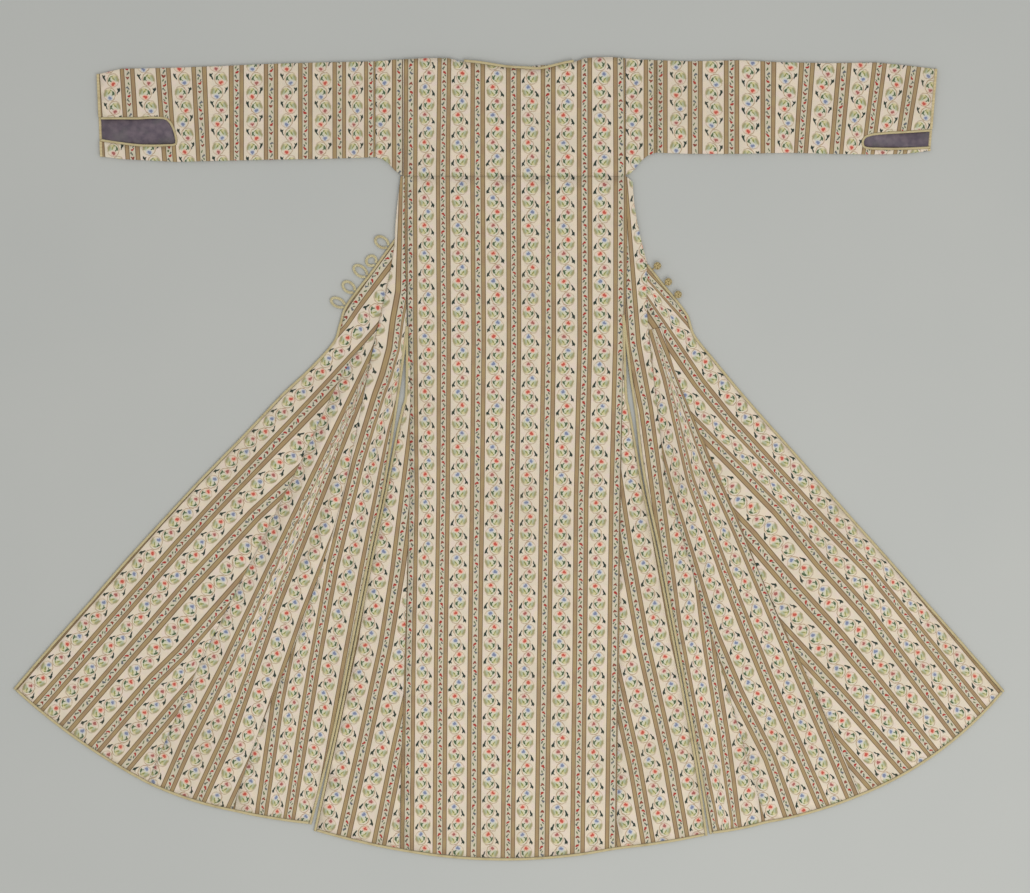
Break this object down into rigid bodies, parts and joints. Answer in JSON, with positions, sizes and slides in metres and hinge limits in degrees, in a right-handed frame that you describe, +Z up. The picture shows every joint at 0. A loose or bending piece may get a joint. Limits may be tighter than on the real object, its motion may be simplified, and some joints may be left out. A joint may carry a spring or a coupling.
{
  "type": "ottoman robe laid flat",
  "caption": "Long-sleeved open robe of striped, flower-patterned cloth, laid out flat with its back up, skirts spread, with slit cuffs and braid loops.",
  "frame": {"origin": "middle of the robe's box, on the surface that it lies on", "axes": "+X towards the right sleeve as seen from above, +Y towards the neck, +Z up from the surface"},
  "size_m": [1.7338, 1.405, 0.0143],
  "materials": {
    "striped_cloth": "soft satin",
    "lining": "matte",
    "piping": "soft satin",
    "braid": "satin"
  },
  "bodies": {
    "root": {"back_yoke": "striped_cloth", "back_panel": "striped_cloth", "back_gore_left": "striped_cloth", "back_gore_right": "striped_cloth", "front_bodice_left": "striped_cloth", "front_bodice_right": "striped_cloth", "front_left": "striped_cloth", "front_right": "striped_cloth", "front_gore_left": "striped_cloth", "front_gore_right": "striped_cloth", "side_gore_left": "striped_cloth", "side_gore_right": "striped_cloth", "sleeve_left": "striped_cloth", "sleeve_right": "striped_cloth", "sleeve_head_left": "striped_cloth", "sleeve_head_right": "striped_cloth", "cuff_lining_left": "lining", "cuff_lining_right": "lining", "cuff_piping_left": "piping", "cuff_piping_right": "piping", "cuff_slit_piping_left": "piping", "cuff_slit_piping_right": "piping", "neck_piping": "piping", "front_piping_left": "piping", "front_piping_right": "piping", "front_hem_piping_left": "piping", "front_hem_piping_right": "piping", "back_hem_piping": "piping", "side_slit_piping_left": "piping", "side_slit_piping_right": "piping", "back_slit_piping_left": "piping", "back_slit_piping_right": "piping", "button_loop_1": "braid", "button_loop_2": "braid", "button_loop_3": "braid", "button_loop_4": "braid", "button_loop_5": "braid", "knot_button_1": "braid", "knot_button_2": "braid", "knot_button_3": "braid"}
  },
  "joints": []
}
